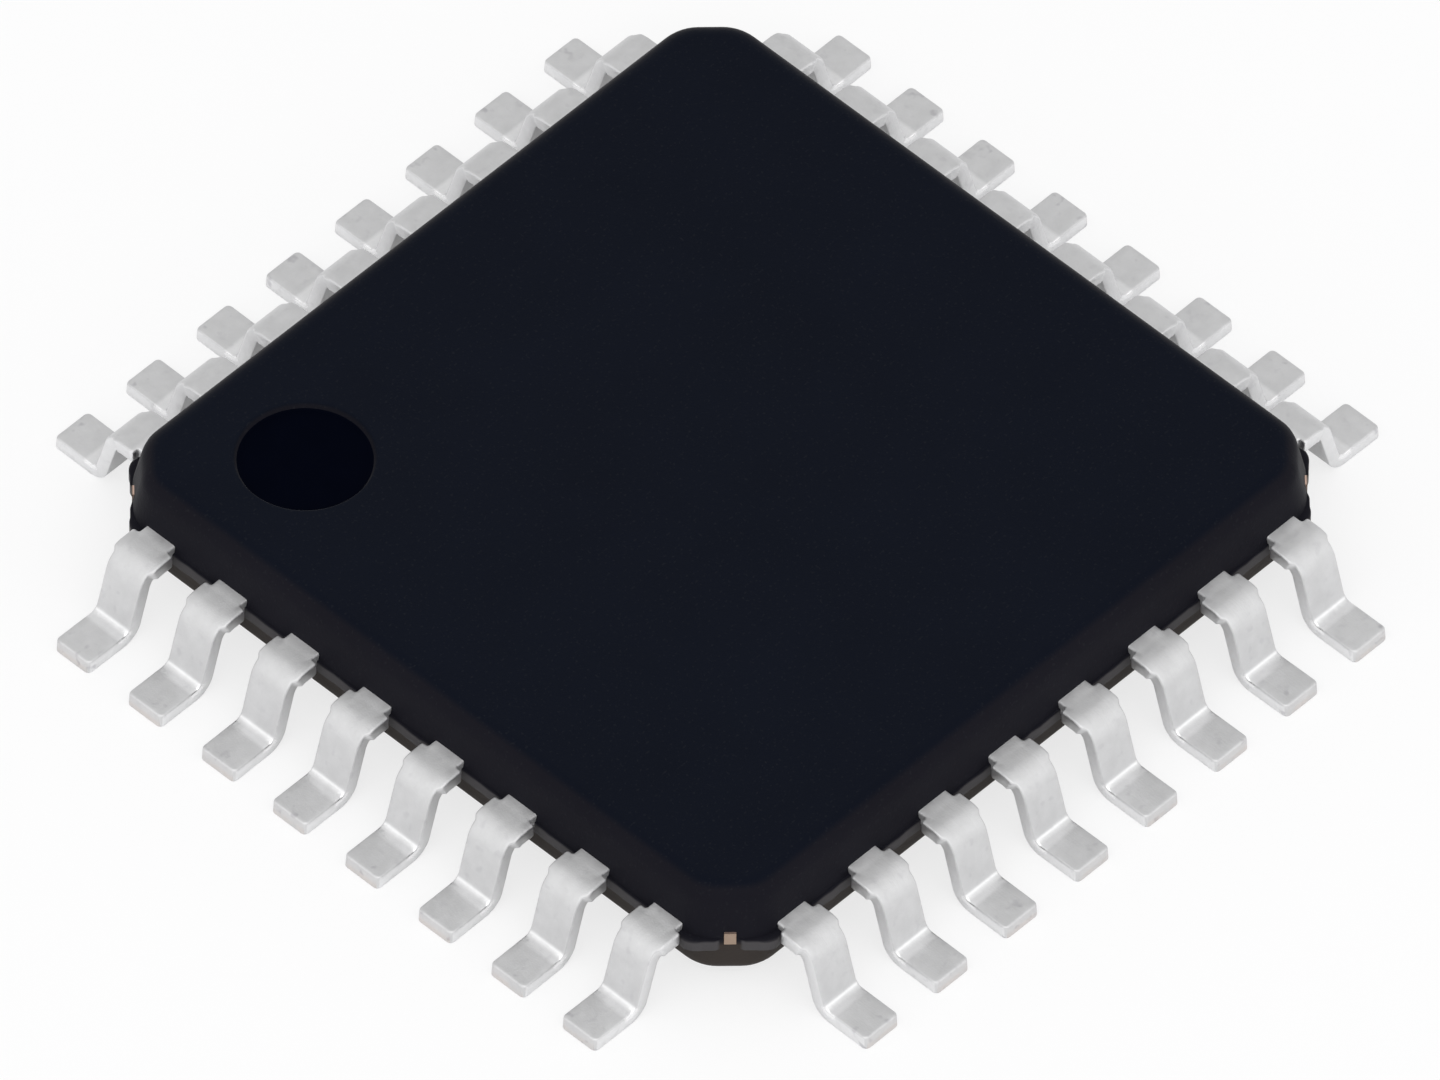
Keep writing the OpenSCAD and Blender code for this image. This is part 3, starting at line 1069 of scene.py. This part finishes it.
def build_floor(stage):
    """One large face, just below the soles so that the two never share a plane."""
    half, height = 600 * MM, -0.001 * MM
    corners = [(x * half, y * half, height) for x, y in ((-1, -1), (1, -1), (1, 1), (-1, 1))]
    mesh = bpy.data.meshes.new("floor")
    mesh.from_pydata(corners, [], [(0, 1, 2, 3)])
    floor = put_in_scene("floor", mesh)
    give_materials(floor, floor_finish(stage))


def build_room(stage):
    """Evenly lit room that is dimmer behind the object, and plain white to the camera."""
    world = bpy.data.worlds.new("Studio")
    bpy.context.scene.world = world
    world.use_nodes = True
    world.node_tree.nodes.clear()
    n = Nodes(world.node_tree)
    look = n.add("ShaderNodeTexCoord")
    x, y = n.split(look.outputs["Generated"])[:2]
    behind = y * math.cos(stage.azimuth) - x * math.sin(stage.azimuth)
    dimming = 1.0 - stage.far_dimming * behind.rise(-0.3, 0.7)
    room = n.add("ShaderNodeBackground", None,
                 {"Color": WHITE, "Strength": stage.room_light * dimming})
    white = n.add("ShaderNodeBackground", None, {"Color": WHITE, "Strength": 1.0})
    path = n.add("ShaderNodeLightPath")
    shown = n.add("ShaderNodeMixShader", None,
                  [path.outputs["Is Camera Ray"], room.outputs[0], white.outputs[0]])
    n.add("ShaderNodeOutputWorld", None, {"Surface": shown.outputs[0]})


def add_soft_light(name, azimuth, elevation, size, radiance):
    """Soft box that faces the object."""
    light = bpy.data.lights.new(name, "AREA")
    light.shape = "RECTANGLE"
    light.size, light.size_y = size
    light.energy = radiance * math.pi * size[0] * size[1]
    lamp = put_in_scene(name, light)
    towards = direction(azimuth, elevation)
    lamp.location = towards * SOFT_BOX_DISTANCE
    lamp.rotation_mode = "QUATERNION"
    lamp.rotation_quaternion = towards.to_track_quat("Z", "Y")


def build_lights(stage):
    side_box, front_box = (110 * MM, 60 * MM), (150 * MM, 90 * MM)
    for name, offset, height, size, radiance in (
            ("left_soft_box", -72, 24, side_box, stage.left_light),
            ("right_soft_box", 72, 24, side_box, stage.right_light),
            ("front_soft_box", 0, 60, front_box, stage.front_light)):
        add_soft_light(name, stage.azimuth + math.radians(offset), math.radians(height),
                       size, radiance)


def build_camera(stage):
    data = bpy.data.cameras.new("camera")
    data.type, data.sensor_width, data.lens = "PERSP", 36.0, stage.lens
    data.clip_start, data.clip_end = 0.01, 10.0
    camera = put_in_scene("camera", data)
    back = direction(stage.azimuth, stage.elevation)
    level = Vector((math.cos(stage.azimuth), math.sin(stage.azimuth), 0))
    upright = back.cross(level)
    right = math.cos(stage.roll) * level + math.sin(stage.roll) * upright
    up = math.cos(stage.roll) * upright - math.sin(stage.roll) * level
    # The camera looks a little below the middle of the object
    middle, lowered, sideways = Vector((0, 0, 0.5 * MM)), 0.3054 * MM, 0.0034 * MM
    aim = middle - up * lowered + right * sideways
    camera.matrix_world = Matrix.Translation(aim + back * stage.distance) @ Matrix(
        (right, up, back)).transposed().to_4x4()
    bpy.context.scene.camera = camera


class FLATPACK_OT_build_stage(bpy.types.Operator):
    """Sets out the floor, the soft light and the camera"""

    bl_idname = "flatpack.build_stage"
    bl_label = "Build Stage"

    def execute(self, context):
        stage = context.scene.flatpack_stage
        build_floor(stage)
        build_room(stage)
        build_lights(stage)
        build_camera(stage)
        context.scene.view_settings.view_transform = "Standard"
        return {"FINISHED"}


# Add-on -------------------------------------------------------------------------------------


class FLATPACK_PT_sidebar(bpy.types.Panel):
    """Lists the steps that build the flat pack"""

    bl_idname = "FLATPACK_PT_sidebar"
    bl_label = "Flat Pack"
    bl_space_type = "VIEW_3D"
    bl_region_type = "UI"
    bl_category = "Flat Pack"

    def draw(self, context):
        for operator in OPERATORS:
            self.layout.operator(operator.bl_idname)


SETTINGS = {
    "flatpack_body": FLATPACK_PG_body,
    "flatpack_leads": FLATPACK_PG_leads,
    "flatpack_inside": FLATPACK_PG_inside,
    "flatpack_stage": FLATPACK_PG_stage,
}
OPERATORS = (
    FLATPACK_OT_mould_body,
    FLATPACK_OT_form_leads,
    FLATPACK_OT_finish_die_pad,
    FLATPACK_OT_finish_die,
    FLATPACK_OT_finish_wires,
    FLATPACK_OT_build_stage,
)


def register():
    for cls in (*SETTINGS.values(), *OPERATORS, FLATPACK_PT_sidebar):
        bpy.utils.register_class(cls)
    for name, cls in SETTINGS.items():
        setattr(bpy.types.Scene, name, PointerProperty(type=cls))


def unregister():
    for name in SETTINGS:
        delattr(bpy.types.Scene, name)
    for cls in (FLATPACK_PT_sidebar, *reversed(OPERATORS), *SETTINGS.values()):
        bpy.utils.unregister_class(cls)


def main():
    register()
    bpy.ops.flatpack.mould_body()
    bpy.ops.flatpack.form_leads()
    bpy.ops.flatpack.finish_die_pad()
    bpy.ops.flatpack.finish_die()
    bpy.ops.flatpack.finish_wires()
    bpy.ops.flatpack.build_stage()


if __name__ == "__main__":
    main()
